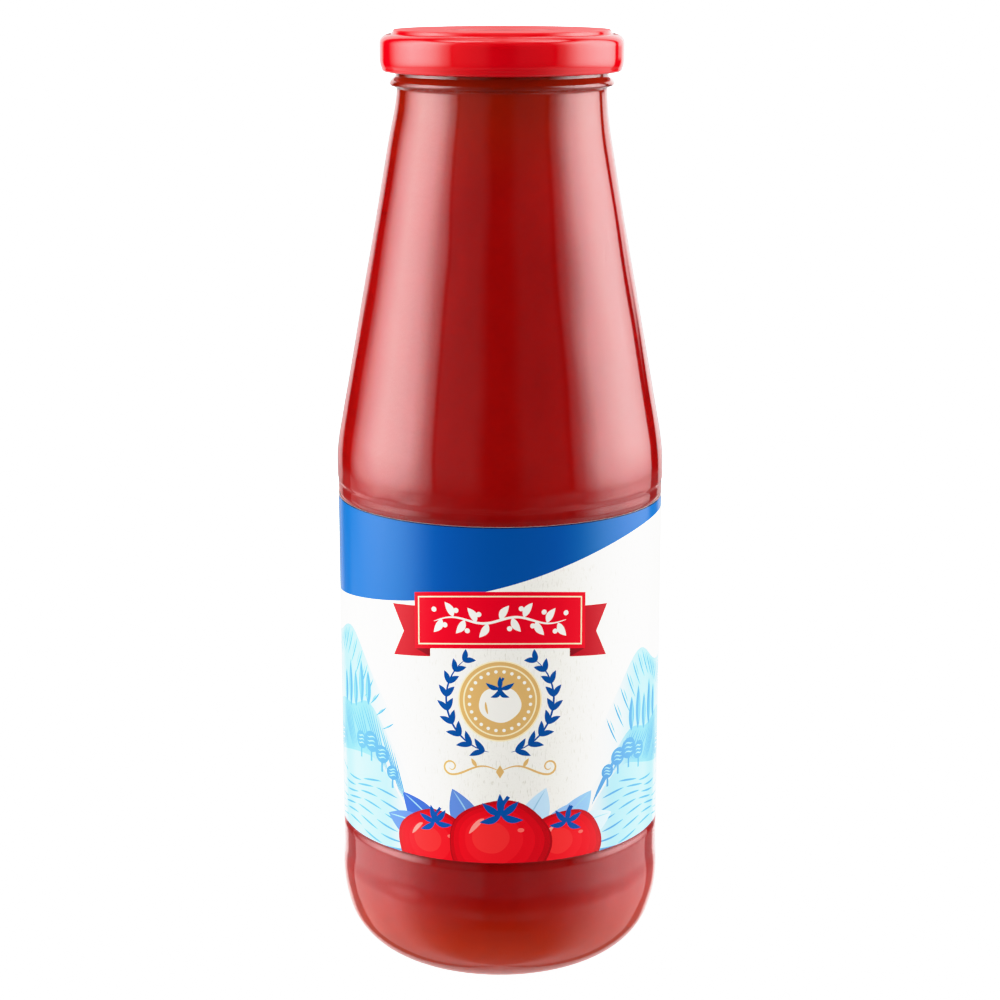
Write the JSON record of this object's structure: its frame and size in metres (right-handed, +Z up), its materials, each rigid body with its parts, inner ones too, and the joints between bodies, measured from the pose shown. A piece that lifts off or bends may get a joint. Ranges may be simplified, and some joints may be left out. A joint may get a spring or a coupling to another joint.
{
  "type": "passata bottle",
  "caption": "Tall glass bottle of tomato passata with a long tapered shoulder, a red twist-off metal lid and a wrap-round paper label.",
  "frame": {"origin": "centre of the circle the bottle stands on, at the height of the standing surface", "axes": "+Z up along the bottle's axis towards the lid; -Y towards the middle of the label's front"},
  "size_m": [0.0784, 0.0784, 0.2234],
  "materials": {
    "glass": "clear, smooth, very slightly wavy flint glass",
    "sauce": "smooth opaque sieved tomato, deep red",
    "lid_enamel": "bright red gloss enamel on tinplate",
    "label_paper": "printed paper with a light varnish: blue field, cream fibre ground, red, gold and pale blue shapes"
  },
  "bodies": {
    "root": {"bottle": "glass", "passata": "sauce", "lid": "lid_enamel", "label": "label_paper"}
  },
  "joints": []
}
